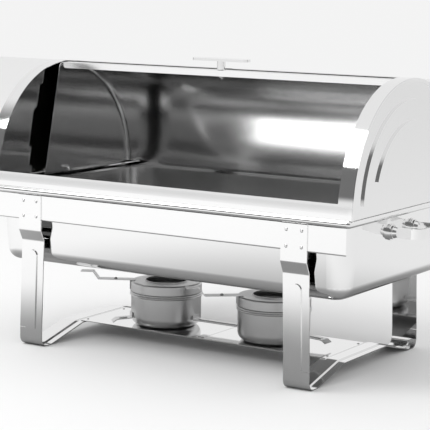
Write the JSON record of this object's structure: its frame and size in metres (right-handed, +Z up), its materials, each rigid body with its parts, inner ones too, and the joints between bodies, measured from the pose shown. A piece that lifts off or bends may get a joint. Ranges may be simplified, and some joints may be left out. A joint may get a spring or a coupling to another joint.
{
  "type": "roll-top chafing dish",
  "caption": "Roll-top chafing dish with a half-round hood, inner rolling lid, water pan, food pan, bent-strip stand and a linked pair of fuel burners on a shelf.",
  "frame": {"origin": "on the floor under the centre of the dish", "axes": "+X along the length, to the right seen from the front; -Y is the front, where the lid opens; +Z up"},
  "size_m": [0.6596, 0.34, 0.4154],
  "materials": {
    "polished_steel": "mirror-polished stainless steel sheet",
    "brushed_steel": "bright plain stainless steel",
    "satin_steel": "satin stainless steel"
  },
  "bodies": {
    "stand": {"leg_frame_left": "polished_steel", "leg_frame_right": "polished_steel", "front_apron": "polished_steel", "rear_apron": "polished_steel", "stand_rivets": "brushed_steel", "burner_shelf": "polished_steel", "shelf_rivets": "brushed_steel"},
    "pans": {"water_pan": "polished_steel", "pan_handle_left": "polished_steel", "pan_handle_right": "polished_steel", "pan_handle_collars": "polished_steel", "pan_handle_screws": "brushed_steel", "food_pan": "brushed_steel"},
    "hood": {"hood_shell": "polished_steel", "hood_end_left": "polished_steel", "hood_end_right": "polished_steel", "pivot_studs": "brushed_steel", "pivot_bushes": "brushed_steel", "pivot_washers": "brushed_steel", "pivot_nuts": "brushed_steel"},
    "lid": {"lid_shell": "polished_steel", "lid_end_left": "polished_steel", "lid_end_right": "polished_steel", "lid_handle_grip": "polished_steel", "lid_handle_post": "brushed_steel", "lid_handle_nut": "brushed_steel"},
    "burners": {"burner_cup_left": "satin_steel", "burner_cup_right": "satin_steel", "burner_link_bar": "satin_steel", "burner_handle_left": "satin_steel", "burner_handle_right": "satin_steel"},
    "cover_left": {"cover_left": "satin_steel", "cover_lever_left": "satin_steel", "lever_rivet_left": "brushed_steel"},
    "cover_right": {"cover_right": "satin_steel", "cover_lever_right": "satin_steel", "lever_rivet_right": "brushed_steel"}
  },
  "joints": [
    {"name": "pans_lift", "type": "slide", "parent": "stand", "child": "pans", "axis": [0, 0, 1], "range_m": [0, 0.15]},
    {"name": "hood_lift", "type": "slide", "parent": "pans", "child": "hood", "axis": [0, 0, 1], "range_m": [0, 0.25]},
    {"name": "lid_roll", "type": "hinge", "parent": "hood", "child": "lid", "pos_m": [0, 0, 0.236], "axis": [1, 0, 0], "range_deg": [0, 80]},
    {"name": "burners_lift", "type": "slide", "parent": "stand", "child": "burners", "axis": [0, 0, 1], "range_m": [0, 0.018]},
    {"name": "cover_left_turn", "type": "hinge", "parent": "burners", "child": "cover_left", "pos_m": [-0.0916, -0.002, 0.08], "axis": [0, 0, 1], "range_deg": [-60, 60]},
    {"name": "cover_right_turn", "type": "hinge", "parent": "burners", "child": "cover_right", "pos_m": [0.0916, -0.002, 0.08], "axis": [0, 0, 1], "range_deg": [-60, 60]}
  ]
}
